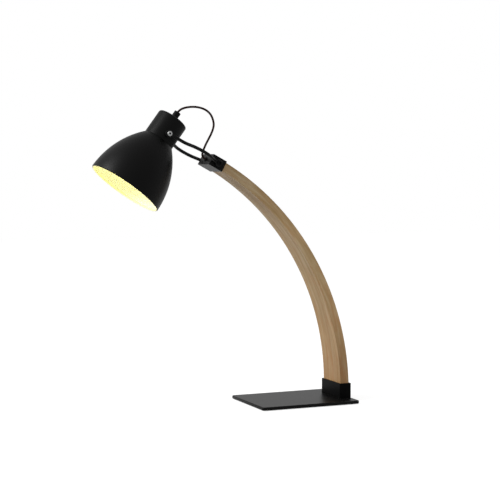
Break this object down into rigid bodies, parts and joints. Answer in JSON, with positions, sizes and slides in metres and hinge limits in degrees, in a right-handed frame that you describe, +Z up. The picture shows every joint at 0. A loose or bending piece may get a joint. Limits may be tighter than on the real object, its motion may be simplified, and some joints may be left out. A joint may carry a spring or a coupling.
{
  "type": "table lamp",
  "caption": "Table lamp with a flat steel base, a bent tapering wooden arm and a black bell shade that tilts in a bowed rod fork.",
  "frame": {"origin": "middle of the pad's underside, on the surface that the lamp stands on", "axes": "+Z up, +X towards the arm's foot, so that the shade hangs out over -X; +Y across the lamp"},
  "size_m": [0.5554, 0.17, 0.6245],
  "materials": {
    "black_steel": "matt black powder coat on sheet steel",
    "black_rod": "satin black coat on round steel rod",
    "black_shade": "matt black lacquer outside, white lacquer inside",
    "black_screw": "blackened steel",
    "wood": "light brown oak, clear matt oil",
    "foam_pad": "closed-cell foam sheet",
    "black_rubber": "moulded rubber",
    "textile_cord": "dark red-brown braided textile",
    "bright_steel": "zinc-plated steel",
    "black_plastic": "moulded black thermoset",
    "white_nylon": "natural nylon",
    "brass": "plain brass spring",
    "bulb_shell": "rolled thread",
    "opal_globe": "opal, lit"
  },
  "bodies": {
    "stand": {"base_pad": "foam_pad", "base_plate": "black_steel", "base_screws": "bright_steel", "foot_socket": "black_steel", "arm_screws": "black_screw", "arm": "wood", "lead_grommet": "black_rubber", "arm_wire": "textile_cord", "arm_cap": "black_steel", "cap_screws": "black_screw", "cap_grommet": "black_rubber", "bow_pivot_screws": "black_screw", "bow_washers": "bright_steel"},
    "bow": {"bow_rod_front": "black_rod", "bow_rod_rear": "black_rod", "cord_lower": "textile_cord", "cord_upper": "textile_cord"},
    "head": {"head_pivot_screws": "bright_steel", "head_washers": "bright_steel", "head_nuts": "bright_steel", "cup": "black_shade", "shade": "black_shade", "cord_grip": "black_plastic", "grip_screw": "white_nylon", "nipple": "bright_steel", "nipple_nut": "bright_steel", "head_wire": "textile_cord", "holder_cap": "black_plastic", "holder_body": "black_plastic", "shade_ring": "black_plastic", "holder_contact": "brass", "bulb_base": "bulb_shell", "bulb_globe": "opal_globe"}
  },
  "joints": [
    {"name": "bow_tilt", "type": "hinge", "parent": "stand", "child": "bow", "pos_m": [-0.1889, 0, 0.5081], "axis": [0, 1, 0], "range_deg": [-30, 25], "deforming": ["cord_lower"]},
    {"name": "head_tilt", "type": "hinge", "parent": "bow", "child": "head", "pos_m": [-0.29646, 0, 0.56674], "axis": [0, 1, 0], "range_deg": [-35, 50], "deforming": ["cord_upper"]}
  ]
}
